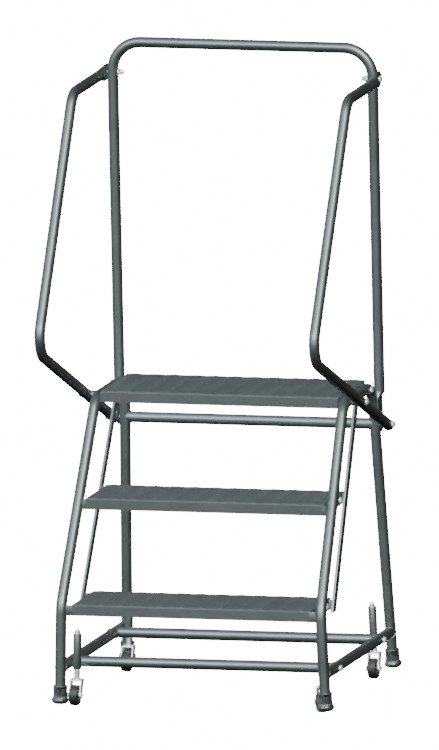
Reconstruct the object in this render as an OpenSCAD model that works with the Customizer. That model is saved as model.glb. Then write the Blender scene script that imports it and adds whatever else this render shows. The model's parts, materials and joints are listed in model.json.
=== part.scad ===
// Mobile ladder stand: a tubular steel stand with two steps and a platform, a handrail on
// each side, a guard hoop behind the platform and four spring-loaded swivel casters.
// Millimetres. +X is the climber's right, +Y is the rear, +Z is up, and Z = 0 is the floor
// under the caster wheels. The climber comes up from -Y. The parts are drawn with the plane
// of the guard hoop at Y = 0 and then moved back by hoop_y, which centres the stand.

/* [Tube] */
// Outer diameter of every frame tube
tube_d = 27; // [25:0.5:28]
// Wall thickness of every frame tube
tube_wall = 2; // [1.5:0.1:2.5]

/* [Side frames] */
// Height of the centreline of the top tubes
frame_top_z = 724.4; // [700:0.1:750]
// Half distance between the centrelines of the top tubes
frame_half_w = 315; // [290:1:340]
// Outward lean of each side frame
splay = 1.9; // [0:0.1:3]
// Lean of the sloping front legs from vertical
front_lean = 32.7; // [30:0.1:35]
// Lean of the rear legs from vertical
rear_lean = 4.44; // [3:0.01:6]
// Corner of the top tube and the rear leg
top_rear_y = -8; // [-12:1:-4]
// Corner of the top tube and the sloping front leg
top_front_y = -274; // [-280:1:-268]
// Plane of the vertical foot of the front legs
front_leg_y = -572; // [-576:1:-568]
// Bend radius at the two top corners
top_bend_r = 60; // [50:1:65]
// Bend radius where the front leg turns down
knee_bend_r = 76; // [60:1:90]

/* [Base] */
// Height of the base rails and the base crossbars
rail_z = 102.4; // [95:0.1:110]
// Front base crossbar
front_bar_y = -471; // [-480:1:-460]
// Rear base crossbar
rear_bar_y = -70.7; // [-80:0.1:-65]
// Height of the rear upper crossbar
upper_bar_z = 627.7; // [620:0.1:635]

/* [Treads] */
// Rise from one tread to the next
riser = 240; // [235:0.1:245]
// Depth of the platform
platform_depth = 254; // [250:1:256]
// Height of the platform's flange above the top tubes
platform_lift = 1.5; // [0:0.1:3]
// Depth of each step
step_depth = 200; // [190:1:205]
// Front edge of the platform
platform_front_y = -280; // [-284:1:-276]
// Front edge of the upper step
upper_front_y = -434; // [-438:1:-430]
// Front edge of the lower step
lower_front_y = -576; // [-578:1:-574]
// Height of the tread flanges
flange_h = 25.4; // [20:0.1:27]
// Sheet thickness of the treads
sheet = 2.5; // [2:0.1:3]
// Spacing of the pressed grip ribs
rib_pitch = 50.8; // [45:0.1:56]
// Height of a grip rib above the sheet
rib_h = 3; // [2:0.1:3.5]
// Width of a grip rib
rib_w = 38; // [30:1:38]

/* [Struts and brackets] */
// Width of the flat bar of the struts
strut_w = 25.4; // [20:0.1:30]
// Thickness of the flat bar of the struts
strut_t = 6; // [3:0.1:6.4]
// Distance from the frame plane to the inner face of the strut
strut_inset = 13.6; // [13:0.1:13.6]
// Sheet thickness of the step brackets
bracket_t = 3; // [2.5:0.1:3.5]
// Distance from a step's front edge to the back of its brackets
bracket_depth = 178; // [170:1:185]

/* [Guard hoop] */
// Half distance between the posts
hoop_half_w = 331; // [330.5:0.1:331.5]
// Height of the centreline of the hoop's top
hoop_top_z = 1563; // [1550:1:1600]
// Bend radius of the hoop's corners
hoop_bend_r = 72; // [60:1:90]

/* [Handrails] */
// Distance of each handrail from the middle of the stand
handrail_x = 349.5; // [349.5:0.1:351]
// Height of the upper run
handrail_top_z = 1487.4; // [1470:0.1:1500]
// Bend radius of the handrails
handrail_bend_r = 60; // [50:1:70]
// Thickness of a flattened tube end
flat_t = 3.8; // [3.2:0.1:4]
// Width of a flattened tube end
flat_w = 41; // [38:0.5:42]

/* [Casters] */
// Wheel diameter
wheel_d = 50.8; // [48:0.1:52]
// Tyre width
wheel_w = 22; // [18:0.5:23]
// Distance of the wheel's axle from the swivel axis
trail = 15; // [12:0.5:18]
// Height of the feet above the floor while the springs hold the stand up
foot_gap = 14; // [10:0.5:15]
// Outer diameter of the caster sockets
socket_d = 20.6; // [20:0.1:21]
// Swivel axis of the front casters
front_caster_y = -505; // [-510:1:-500]
// Swivel axis of the rear casters
rear_caster_y = -30; // [-34:1:-26]

/* [Fasteners] */
// Diameter of the frame bolts
bolt_d = 8; // [6:0.5:8]
// Size of the bolt heads and nuts across their flats
bolt_af = 12.7; // [11:0.1:13]

/* [Hidden] */
$fn = 48;
eps = 0.05;  // gap that keeps touching solids from sharing volume
bend_lap = 0.5;     // how far a straight run reaches into a bend
bend_swell = 0.2;   // how much wider the wall of a bend is, so that it holds the run's end

LEFT = -1;
RIGHT = 1;
FRONT_LEFT = [LEFT, front_caster_y];
FRONT_RIGHT = [RIGHT, front_caster_y];
REAR_LEFT = [LEFT, rear_caster_y];
REAR_RIGHT = [RIGHT, rear_caster_y];

paint = [0.44, 0.48, 0.48];
tread_paint = [0.40, 0.42, 0.43];
zinc = [0.80, 0.81, 0.82];
dark_rubber = [0.17, 0.17, 0.17];
grey_rubber = [0.40, 0.43, 0.42];
black_plastic = [0.08, 0.08, 0.08];
hub_grey = [0.30, 0.30, 0.31];
spring_steel = [0.55, 0.56, 0.58];

tube_r = tube_d / 2;
bore_d = tube_d - 2 * tube_wall;

// Heights of the treads, measured at the top edges of their flanges
platform_z = frame_top_z + tube_r + platform_lift;
upper_z = platform_z - riser;
lower_z = upper_z - riser;
tread_half_w = frame_half_w - tube_r - 0.2;
rib_count = 2 * floor(tread_half_w / rib_pitch + 0.4);
rib_r = (pow(rib_w / 2, 2) + pow(rib_h, 2)) / (2 * rib_h);
rib_inset = 0.5;      // from the ends of a rib to the tread's front and rear faces
seam_w = 1.8;
seam_deep = 1.4;

// Positions along a side frame, which is drawn in its own leaning plane
function down_plane(z) = (z - frame_top_z) / cos(splay);
function frame_x(z) = frame_half_w + tan(splay) * (frame_top_z - z);
function rear_leg_y(z) = top_rear_y + tan(rear_lean) * (frame_top_z - z);
knee_z = frame_top_z - (top_front_y - front_leg_y) / tan(front_lean);
foot_pad = 8;  // rubber under the end of a leg
leg_end_z = foot_gap + foot_pad;
side_path = [
    [front_leg_y, down_plane(leg_end_z)],
    [front_leg_y, down_plane(knee_z)],
    [top_front_y, 0],
    [top_rear_y, 0],
    [rear_leg_y(leg_end_z), down_plane(leg_end_z)],
];
side_radii = [0, knee_bend_r, top_bend_r, top_bend_r, 0];

// The strut runs parallel to the sloping leg, from the top tube to the lower step
strut_top = [-110, -4];
strut_slope = 32.65;
strut_low_z = lower_z - flange_h - 0.5;
strut_low = [strut_top.x + tan(strut_slope) * (down_plane(strut_low_z) - strut_top.y),
    down_plane(strut_low_z)];

// Handrail corners in the Y-Z plane
handrail_knee = [-303.5, handrail_top_z];
handrail_nose = [-676.8, 908.1];
handrail_end_y = 13;
handrail_foot_z = 627.8;
handrail_end = [handrail_end_y, handrail_foot_z
    + (handrail_foot_z - handrail_nose.y) / (0 - handrail_nose.x) * handrail_end_y];
handrail_rise = atan((handrail_foot_z - handrail_nose.y) / handrail_nose.x);
flat_run = 34;       // length of the taper from round tube to flattened end
handrail_path = [
    [-flat_w / 2 - flat_run, handrail_top_z],
    handrail_knee,
    handrail_nose,
    handrail_end,
];
handrail_radii = [0, handrail_bend_r, handrail_bend_r, 0];
front_bolt_y = -233.4;
platform_bolt_y = -65.7;

hoop_flat_top_z = 692;    // end of the taper
hoop_round_end_z = 708;   // start of the taper
hoop_flat_end_z = 609;

// Feet
foot_h = 46;
foot_collar_d = 34.5;
foot_rim_d = 35.5;
foot_base_d = 43;
foot_sole_d = 30;
foot_bulge_z = 8;    // bottom of the widest band, above the sole
foot_neck_z = 19;    // where the flare meets the collar

// The stand's extent in Y: the handrail's nose in front, the rear feet behind
nose_in = unit(handrail_nose - handrail_knee);
nose_out = unit(handrail_end - handrail_nose);
nose_turn = acos(nose_in * nose_out);
nose_centre = handrail_nose
    + unit(nose_out - nose_in) * handrail_bend_r / cos(nose_turn / 2);
front_y = nose_centre.x - handrail_bend_r - tube_r;
back_y = rear_leg_y(foot_gap + foot_bulge_z + 1) + foot_base_d / 2;
hoop_y = -(front_y + back_y) / 2;

// Caster geometry, in a frame whose Z axis is the swivel axis and whose origin is where
// that axis meets the floor
socket_bore = 14.8;
socket_low = rail_z - tube_r;
socket_high = 176.5;
socket_cap = 2;
caster_x = frame_x(rail_z) - (tube_r + socket_d / 2 + eps) / cos(splay) + tan(splay) * rail_z;
tyre_edge_r = 4;
wheel_z = ((wheel_d / 2 - tyre_edge_r) * cos(splay) + (wheel_w / 2 - tyre_edge_r) * sin(splay)
    + tyre_edge_r) / cos(splay);
fork_top_z = 63;
fork_t = 3;
fork_gap = wheel_w + 2;
fork_plate_y = 13;
axle_boss_r = 8;
sleeve_d = 14.65;
sleeve_top_z = 128;
rod_d = 8;
rod_hole_d = 8.1;
axle_d = 6.4;
axle_hole_d = 6.5;
play = 0.3;           // gap on each side of the fork's top plate
hub_d = 37;
spring_wire = 2;
spring_d = 11.4;      // mean diameter of the coil
spring_turns = 7;
spring_steps = 12;    // rings in each turn
spring_sides = 6;
spring_low = sleeve_top_z + eps;
spring_high = socket_high - socket_cap - eps;

head_h = 5.3;
head_crown_d = 19.4;  // ball that rounds off the corners of a bolt head
nut_h = 6.5;
cap_nut_d = bolt_af - 0.4;
long_bolt_l = 46;
step_bolt_l = 19;
bolt_past_nut = 14;   // from the end of a tread to the tip of the bolt through it
plug_inset = 8;       // from the face of a leg or rail to the plug in a crossbar
washer_d = 17;
washer_t = 1.6;
hole_d = bolt_d + 0.5;

// ---- Placing ----------------------------------------------------------------------------

// Moves a part from the hoop's own plane to its place behind the origin
module in_place() translate([0, hoop_y, 0]) children();

// Draws a right-hand part, or its mirror image for the left
module sided(side) {
    if (side == RIGHT) children();
    else mirror([1, 0, 0]) children();
}

// The leaning plane of a side frame: X across it, Y to the rear, Z down from the top tube
module side_plane(side)
    sided(side) translate([frame_half_w, 0, frame_top_z]) rotate([0, -splay, 0]) children();

// Turns a drawing in the X-Y plane into the Y-Z plane
module stand_up() rotate([90, 0, 90]) children();

// The swivel axis of one caster
module at_caster(place)
    in_place() sided(place[0]) translate([caster_x, place[1], 0]) rotate([0, -splay, 0]) children();

// ---- Tubes ------------------------------------------------------------------------------

function unit(v) = v / norm(v);
function heading(p, i) = unit(p[i + 1] - p[i]);
function corner_turn(p, i) = acos(heading(p, i - 1) * heading(p, i));
function tangent(p, radii, i) =
    i == 0 || i == len(p) - 1 ? 0 : radii[i] * tan(corner_turn(p, i) / 2);

module ring(od, id) {
    difference() {
        circle(d = od);
        if (id > 0) circle(d = id);
    }
}

// A straight tube along +Z
module pipe(l, od, id) linear_extrude(height = l) ring(od, id);

// The straight stretch of a path between corner i and corner i + 1, lapped into the bends
module path_run(p, radii, i, od, id) {
    lap_a = i == 0 ? 0 : bend_lap;
    lap_b = i == len(p) - 2 ? 0 : bend_lap;
    a = p[i] + heading(p, i) * (tangent(p, radii, i) - lap_a);
    b = p[i + 1] - heading(p, i) * (tangent(p, radii, i + 1) - lap_b);
    translate([a.x, a.y, 0])
        rotate([0, 90, atan2(b.y - a.y, b.x - a.x)]) pipe(norm(b - a), od, id);
}

// The bend at corner i of a path
module path_bend(p, radii, i, od, id) {
    a = heading(p, i - 1);
    hand = sign(cross(a, heading(p, i)));
    turn = corner_turn(p, i);
    start = p[i] - a * tangent(p, radii, i);
    centre = start + hand * radii[i] * [-a.y, a.x];
    from = atan2(start.y - centre.y, start.x - centre.x);
    translate([centre.x, centre.y, 0])
        rotate([0, 0, hand > 0 ? from : from - turn])
            rotate_extrude(angle = turn)
                translate([radii[i], 0]) ring(od + bend_swell, id - bend_swell);
}

// A tube bent along a path in the X-Y plane
module bent_tube(p, radii) {
    for (i = [0 : len(p) - 2]) path_run(p, radii, i, tube_d, bore_d);
    for (i = [1 : len(p) - 2]) path_bend(p, radii, i, tube_d, bore_d);
}

// The space that one tube fills, along +Z from the origin, for coping what meets it
module core(l) translate([0, 0, -l / 2]) cylinder(d = tube_d + 2 * eps, h = l);

module front_leg_core(side)
    side_plane(side) translate([0, front_leg_y, down_plane(rail_z)]) core(320);

module slope_leg_core(side)
    side_plane(side) translate([0, (front_leg_y + top_front_y) / 2, down_plane(knee_z) / 2])
        rotate([-front_lean, 0, 0]) core(620);

module rear_leg_core(side)
    side_plane(side) translate([0, rear_leg_y(400), down_plane(400)])
        rotate([rear_lean, 0, 0]) core(720);

module top_tube_core(side)
    side_plane(side) translate([0, top_front_y / 2, 0]) rotate([90, 0, 0]) core(400);

module base_rail_core(side)
    side_plane(side) translate([0, front_leg_y / 2, down_plane(rail_z)])
        rotate([90, 0, 0]) core(640);

// ---- Fasteners --------------------------------------------------------------------------

// A hole along X through everything between x0 and x1 on one side
module side_hole(side, y, z, x0, x1)
    sided(side) translate([x0, y, z]) rotate([0, 90, 0]) cylinder(d = hole_d, h = x1 - x0);

module hexagon(h) cylinder(d = bolt_af / cos(30), h = h, $fn = 6);

module washer() {
    difference() {
        cylinder(d = washer_d, h = washer_t);
        translate([0, 0, -1]) cylinder(d = bolt_d, h = washer_t + 2);
    }
}

// A bolt along X: the washer sits on x_face, the head is outboard and the shank runs inboard
module side_bolt(side, y, z, x_face, l)
    sided(side) translate([x_face, y, z]) rotate([0, 90, 0]) {
        cylinder(d = washer_d, h = washer_t);
        translate([0, 0, washer_t]) intersection() {
            hexagon(head_h);
            translate([0, 0, -4]) sphere(d = head_crown_d);
        }
        translate([0, 0, -l]) cylinder(d = bolt_d, h = l + 0.1);
    }

// A domed cap nut along X that sits inboard of x_face
module side_cap_nut(side, y, z, x_face)
    sided(side) translate([x_face, y, z]) rotate([0, -90, 0]) {
        washer();
        difference() {
            translate([0, 0, washer_t]) union() {
                hexagon(nut_h);
                translate([0, 0, nut_h - 1]) intersection() {
                    sphere(d = cap_nut_d);
                    cylinder(d = bolt_af, h = bolt_af);
                }
            }
            translate([0, 0, -1]) cylinder(d = bolt_d, h = washer_t + nut_h + 2);
        }
    }

module side_nut(side, y, z, x_face)
    sided(side) translate([x_face, y, z]) rotate([0, -90, 0]) difference() {
        hexagon(nut_h);
        translate([0, 0, -1]) cylinder(d = bolt_d, h = nut_h + 2);
    }

// ---- Frame ------------------------------------------------------------------------------

module side_frame(side) {
    color(paint) in_place() difference() {
        side_plane(side) stand_up() bent_tube(side_path, side_radii);
        side_hole(side, front_bolt_y, frame_top_z, 290, 340);
        side_hole(side, platform_bolt_y, frame_top_z, 290, 340);
        side_hole(side, 0, upper_bar_z, 290, 345);
    }
}

module base_rail(side) {
    l = rear_leg_y(rail_z) - front_leg_y;
    color(paint) in_place() difference() {
        side_plane(side) translate([0, front_leg_y, down_plane(rail_z)])
            rotate([-90, 0, 0]) pipe(l, tube_d, bore_d);
        front_leg_core(side);
        rear_leg_core(side);
        side_hole(side, front_bar_y, rail_z, 310, 360);
        side_hole(side, rear_bar_y, rail_z, 310, 360);
    }
}

// A round bar along X with a threaded plug in each end
module crossbar_blank(y, z, half_l, plug_x) {
    plug_l = 14;
    difference() {
        union() {
            translate([-half_l, y, z]) rotate([0, 90, 0]) pipe(2 * half_l, tube_d, bore_d);
            for (side = [LEFT, RIGHT])
                sided(side) translate([plug_x - plug_l, y, z]) rotate([0, 90, 0])
                    cylinder(d = bore_d, h = plug_l);
        }
        for (side = [LEFT, RIGHT])
            sided(side) translate([plug_x - 40, y, z]) rotate([0, 90, 0])
                cylinder(d = bolt_d, h = 80);
    }
}

module base_crossbar(y) {
    color(paint) in_place() difference() {
        crossbar_blank(y, rail_z, frame_x(rail_z), frame_x(rail_z) - tube_r - plug_inset);
        for (side = [LEFT, RIGHT]) base_rail_core(side);
    }
}

module rear_upper_crossbar() {
    color(paint) in_place() difference() {
        crossbar_blank(0, upper_bar_z, frame_x(upper_bar_z),
            frame_x(upper_bar_z) - tube_r - plug_inset);
        for (side = [LEFT, RIGHT]) rear_leg_core(side);
    }
}

// Flat bar from the underside of the top tube to the lower step, cut level at both ends
module strut(side) {
    low = down_plane(strut_low_z);
    lean = atan2(strut_top.x - strut_low.x, strut_top.y - strut_low.y);
    l = norm(strut_top - strut_low);
    color(paint) in_place() difference() {
        side_plane(side) intersection() {
            translate([-strut_inset, strut_low.x, strut_low.y])
                rotate([-lean, 0, 0])
                    translate([0, -strut_w / 2, -30]) cube([strut_t, strut_w, l + 60]);
            translate([-30, -600, low]) cube([30, 600, -low]);
        }
        top_tube_core(side);
    }
}

// A bent plate with a web beside the step's end and a tab out to the leg and to the strut.
// Its child is the leg that the front tab is coped on.
module step_bracket(side, front_y, top_z) {
    web_x = tread_half_w + 0.1;
    reach = frame_x(top_z) - 3;
    low_z = top_z - flange_h;
    difference() {
        sided(side) union() {
            translate([web_x, front_y, low_z]) cube([bracket_t, bracket_depth, flange_h]);
            translate([web_x, front_y, low_z])
                cube([reach - web_x, bracket_t, flange_h]);
            translate([web_x, front_y + bracket_depth - bracket_t, low_z])
                cube([reach - web_x, bracket_t, flange_h]);
        }
        children();
        // the rear tab stops at the inner face of the strut
        side_plane(side) translate([-strut_inset - eps, front_y + bracket_depth / 2, -600])
            cube([60, bracket_depth, 600]);
        for (y = step_bolt_ys(front_y)) side_hole(side, y, top_z - flange_h / 2, 280, 330);
    }
}

function step_bolt_ys(front_y) = [front_y + 26, front_y + bracket_depth - 27];

module step_brackets(side) {
    color(paint) in_place() {
        step_bracket(side, upper_front_y, upper_z) slope_leg_core(side);
        step_bracket(side, lower_front_y, lower_z) front_leg_core(side);
    }
}

module caster_socket(place) {
    translate([0, 0, socket_low]) difference() {
        cylinder(d = socket_d, h = socket_high - socket_low);
        translate([0, 0, -1])
            cylinder(d = socket_bore, h = socket_high - socket_low - socket_cap + 1);
        cylinder(d = rod_hole_d, h = 200);
    }
}

module caster_sockets() {
    color(paint)
        for (place = [FRONT_LEFT, FRONT_RIGHT, REAR_LEFT, REAR_RIGHT])
            at_caster(place) caster_socket(place);
}

// ---- Treads -----------------------------------------------------------------------------

// The cross-section above the height `low` of one pressed rib, seen along the rib
module rib_outline(r, low)
    intersection() {
        translate([0, rib_h - rib_r]) circle(r = r);
        translate([-rib_w, low]) square([2 * rib_w, rib_h + 1 - low]);
    }

// A pressed tread: front and rear flanges, end plates and a ribbed top sheet
module tread(front_y, depth, top_z, bolt_ys, bolt_z) {
    full_w = 2 * tread_half_w;
    in_place() translate([0, front_y, top_z]) difference() {
        union() {
            difference() {
                translate([-tread_half_w, 0, -flange_h]) cube([full_w, depth, flange_h]);
                translate([-tread_half_w + bracket_t, sheet, -flange_h - 1])
                    cube([full_w - 2 * bracket_t, depth - 2 * sheet, flange_h + 1 - sheet]);
                translate([-tread_half_w + bracket_t, sheet, -seam_deep])
                    cube([full_w - 2 * bracket_t, seam_w, seam_deep + 1]);
            }
            for (i = [0 : rib_count - 1])
                translate([(i - (rib_count - 1) / 2) * rib_pitch, depth - rib_inset, 0])
                    rotate([90, 0, 0]) linear_extrude(height = depth - 2 * rib_inset)
                        rib_outline(rib_r, -sheet / 2);
        }
        for (i = [0 : rib_count - 1])
            translate([(i - (rib_count - 1) / 2) * rib_pitch, depth - sheet, 0])
                rotate([90, 0, 0]) linear_extrude(height = depth - 2 * sheet)
                    rib_outline(rib_r - sheet, -sheet - eps);
        for (side = [LEFT, RIGHT], y = bolt_ys)
            side_hole(side, y - front_y, bolt_z - top_z, 280, 330);
    }
}

module platform_tread() {
    color(tread_paint)
        tread(platform_front_y, platform_depth, platform_z,
            [front_bolt_y, platform_bolt_y], frame_top_z);
}

module upper_step() {
    color(tread_paint)
        tread(upper_front_y, step_depth, upper_z,
            step_bolt_ys(upper_front_y), upper_z - flange_h / 2);
}

module lower_step() {
    color(tread_paint)
        tread(lower_front_y, step_depth, lower_z,
            step_bolt_ys(lower_front_y), lower_z - flange_h / 2);
}

// ---- Hoop and handrails -----------------------------------------------------------------

// The lower end of a hoop post: tapered from the round tube and pressed flat on the leg
module hoop_flat(side) {
    x = tube_r + bend_swell / 2 + eps;
    z_top = down_plane(hoop_flat_top_z);
    z_end = down_plane(hoop_flat_end_z) + flat_w / 2;
    side_plane(side) {
        translate([x, -flat_w / 2, z_end]) cube([flat_t, flat_w, z_top - z_end]);
        translate([x, 0, z_end]) rotate([0, 90, 0]) cylinder(d = flat_w, h = flat_t);
    }
    hull() {
        side_plane(side) translate([x + eps, -flat_w / 2 + eps, z_top - 1])
            cube([flat_t - 2 * eps, flat_w - 2 * eps, 1]);
        sided(side) translate([hoop_half_w, 0, hoop_round_end_z])
            cylinder(d = tube_d - 4 * eps, h = 1, $fn = 32);
    }
}

module guard_hoop() {
    path = [
        [-hoop_half_w, hoop_round_end_z],
        [-hoop_half_w, hoop_top_z],
        [hoop_half_w, hoop_top_z],
        [hoop_half_w, hoop_round_end_z],
    ];
    color(paint) in_place() difference() {
        union() {
            rotate([90, 0, 0]) bent_tube(path, [0, hoop_bend_r, hoop_bend_r, 0]);
            for (side = [LEFT, RIGHT]) hoop_flat(side);
        }
        for (side = [LEFT, RIGHT]) {
            side_hole(side, 0, handrail_top_z, 300, 360);
            side_hole(side, 0, upper_bar_z, 300, 360);
            frame_bend_notch(side);
        }
    }
}

// Clears the rear bend of a side frame, so that a hoop post stands against it
module frame_bend_notch(side) {
    turn = 90 - rear_lean;
    centre = [top_rear_y - top_bend_r * tan(turn / 2), -top_bend_r];
    side_plane(side) translate([0, centre.x, centre.y]) rotate([0, 90, 0])
        cylinder(r = top_bend_r + tube_r + 10 * eps, h = tube_r + eps / 2);
}

// The upper end of a handrail: tapered and pressed flat against the hoop post
module handrail_flat() {
    x = hoop_half_w + tube_r + eps;
    translate([x, -flat_w / 2, handrail_top_z - flat_w / 2]) cube([flat_t, flat_w / 2, flat_w]);
    translate([x, 0, handrail_top_z]) rotate([0, 90, 0]) cylinder(d = flat_w, h = flat_t);
    hull() {
        translate([x + eps, -flat_w / 2, handrail_top_z - flat_w / 2 + eps])
            cube([flat_t - 2 * eps, 1, flat_w - 2 * eps]);
        translate([handrail_x, handrail_path[0].x, handrail_top_z])
            rotate([90, 0, 0]) cylinder(d = tube_d - 4 * eps, h = 1, $fn = 32);
    }
}

module handrail(side) {
    color(paint) in_place() difference() {
        sided(side) {
            translate([handrail_x, 0, 0]) stand_up() bent_tube(handrail_path, handrail_radii);
            handrail_flat();
        }
        side_hole(side, 0, handrail_top_z, 300, 380);
        side_hole(side, front_bolt_y, frame_top_z, 320, 380);
        side_hole(side, 0, upper_bar_z, 320, 380);
    }
}

// A collar between the top tube and the handrail, saddled on both
module handrail_spacers() {
    color(zinc) in_place()
        for (side = [LEFT, RIGHT]) difference() {
            sided(side) translate([frame_half_w, front_bolt_y, frame_top_z])
                rotate([0, 90, 0]) cylinder(d = 19, h = handrail_x - frame_half_w);
            top_tube_core(side);
            sided(side) translate([handrail_x, front_bolt_y, frame_top_z])
                rotate([90 - handrail_rise, 0, 0]) core(100);
            side_hole(side, front_bolt_y, frame_top_z, 300, 380);
        }
}

// A push-in plug with a low dome, in the lower end of each handrail
module handrail_end_plugs() {
    run = unit(handrail_end - handrail_nose);
    color(black_plastic) in_place()
        for (side = [LEFT, RIGHT]) sided(side)
            translate([handrail_x, 0, 0]) stand_up() translate([handrail_end.x, handrail_end.y, 0])
                rotate([0, 90, atan2(run.y, run.x)]) {
                    translate([0, 0, eps]) cylinder(d = tube_d, h = 1.5);
                    translate([0, 0, 1.5]) cylinder(d1 = tube_d, d2 = tube_d - 5, h = 1.5);
                    translate([0, 0, -3]) cylinder(d = bore_d - 0.1, h = 4);
                }
}

// ---- Feet -------------------------------------------------------------------------------

// A moulded rubber foot on the end of a leg: a collar with a rim, and a base that flares out
// and turns in again to the sole. Its axis is the leg's, and its sole is cut level.
module foot(side, y, lean) {
    spare = 4;    // reaches below the sole until it is cut
    band = 2;
    turn_in = (foot_base_d - foot_sole_d) / foot_bulge_z;
    color(grey_rubber) in_place() difference() {
        side_plane(side) translate([0, y, down_plane(foot_gap)]) rotate([lean, 0, 0])
            difference() {
                union() {
                    translate([0, 0, -spare]) cylinder(
                        d1 = foot_sole_d - turn_in * spare, d2 = foot_base_d,
                        h = foot_bulge_z + spare);
                    translate([0, 0, foot_bulge_z]) cylinder(d = foot_base_d, h = band);
                    translate([0, 0, foot_bulge_z + band]) cylinder(
                        d1 = foot_base_d, d2 = foot_collar_d,
                        h = foot_neck_z - foot_bulge_z - band);
                    cylinder(d = foot_collar_d, h = foot_h - 1);
                    translate([0, 0, foot_h - 6]) cylinder(d = foot_rim_d, h = 4);
                    translate([0, 0, foot_h - 2]) cylinder(d1 = foot_rim_d, d2 = 31, h = 2);
                }
                translate([0, 0, foot_pad]) cylinder(d = tube_d + 2 * eps, h = foot_h);
            }
        translate([0, -400, foot_gap - 30]) cube([1000, 1400, 60], center = true);
    }
}

// ---- Bolts ------------------------------------------------------------------------------

module handrail_top_bolts() {
    x = hoop_half_w + tube_r + flat_t + 2 * eps;
    color(zinc) in_place()
        for (side = [LEFT, RIGHT]) side_bolt(side, 0, handrail_top_z, x, long_bolt_l);
}

module handrail_top_nuts() {
    color(zinc) in_place()
        for (side = [LEFT, RIGHT])
            side_cap_nut(side, 0, handrail_top_z, hoop_half_w - tube_r - bend_swell);
}

module handrail_front_bolts() {
    x = handrail_x + tube_r + eps;
    color(zinc) in_place()
        for (side = [LEFT, RIGHT]) {
            side_bolt(side, front_bolt_y, frame_top_z, x, x - tread_half_w + bolt_past_nut);
            side_nut(side, front_bolt_y, frame_top_z, tread_half_w - bracket_t - eps);
        }
}

module handrail_rear_bolts() {
    x = handrail_x + tube_r + eps;
    color(zinc) in_place()
        for (side = [LEFT, RIGHT])
            side_bolt(side, 0, upper_bar_z, x, x - frame_x(upper_bar_z) + tube_r + 18);
}

module platform_bolts() {
    x = frame_half_w + tube_r + eps;
    color(zinc) in_place()
        for (side = [LEFT, RIGHT]) {
            side_bolt(side, platform_bolt_y, frame_top_z, x, x - tread_half_w + bolt_past_nut);
            side_nut(side, platform_bolt_y, frame_top_z, tread_half_w - bracket_t - eps);
        }
}

module step_fasteners(with_nuts) {
    x = tread_half_w + 0.1 + bracket_t + eps;
    for (side = [LEFT, RIGHT], step = [[upper_front_y, upper_z], [lower_front_y, lower_z]])
        for (y = step_bolt_ys(step[0]))
            if (with_nuts) side_nut(side, y, step[1] - flange_h / 2, tread_half_w - bracket_t - eps);
            else side_bolt(side, y, step[1] - flange_h / 2, x, step_bolt_l);
}

module step_bolts() {
    color(zinc) in_place() step_fasteners(false);
}

module step_nuts() {
    color(zinc) in_place() step_fasteners(true);
}

module crossbar_bolts() {
    x = frame_x(rail_z) + tube_r + 3 * eps;
    color(zinc) in_place()
        for (side = [LEFT, RIGHT], y = [front_bar_y, rear_bar_y])
            side_bolt(side, y, rail_z, x, long_bolt_l);
}

// ---- Casters ----------------------------------------------------------------------------

// The sliding stem: a sleeve that runs in the socket, a rod up through the spring, and a
// headed spigot that carries the fork
module stem(place) {
    flange_z = fork_top_z + play;
    head_top_z = fork_top_z - fork_t - play;
    color(zinc) at_caster(place) {
        translate([0, 0, flange_z]) cylinder(d = 19, h = 2);
        translate([0, 0, flange_z]) cylinder(d = sleeve_d, h = sleeve_top_z - flange_z);
        translate([0, 0, head_top_z - 2]) cylinder(d = rod_d, h = socket_high + 6 - head_top_z);
        translate([0, 0, head_top_z - 2]) cylinder(d = 13, h = 2);
    }
}

// The domed nut that holds the stem in its socket
module stem_nut(place) {
    base = socket_high + eps;
    color(zinc) at_caster(place) translate([0, 0, base]) difference() {
        union() {
            cylinder(d = 16, h = 1.5);
            translate([0, 0, 1.5]) hexagon(5);
            translate([0, 0, 6]) intersection() {
                sphere(d = cap_nut_d);
                cylinder(d = bolt_af, h = bolt_af);
            }
        }
        translate([0, 0, -1]) cylinder(d = rod_d, h = 5.2);
    }
}

// A helical compression spring, swept ring by ring
module spring(place) {
    steps = spring_turns * spring_steps;
    low = spring_low + spring_wire / 2;
    rise = spring_high - spring_wire / 2 - low;
    points = [for (i = [0 : steps], k = [0 : spring_sides - 1])
        let (turn = 360 * i / spring_steps, side = 360 * k / spring_sides,
             r = spring_d / 2 + spring_wire / 2 * cos(side))
        [r * cos(turn), r * sin(turn), low + rise * i / steps + spring_wire / 2 * sin(side)]];
    sides = [for (i = [0 : steps - 1], k = [0 : spring_sides - 1])
        let (a = i * spring_sides + k, b = i * spring_sides + (k + 1) % spring_sides)
        [a, b, b + spring_sides, a + spring_sides]];
    first = [for (k = [spring_sides - 1 : -1 : 0]) k];
    last = [for (k = [0 : spring_sides - 1]) steps * spring_sides + k];
    color(spring_steel) at_caster(place) polyhedron(points, concat(sides, [first, last]));
}

// Where a line from point p touches a circle of radius r about c
function touch(p, c, r, hand) =
    let (a = atan2(p.y - c.y, p.x - c.x) + hand * acos(r / norm(p - c)))
    c + r * [cos(a), sin(a)];

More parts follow.
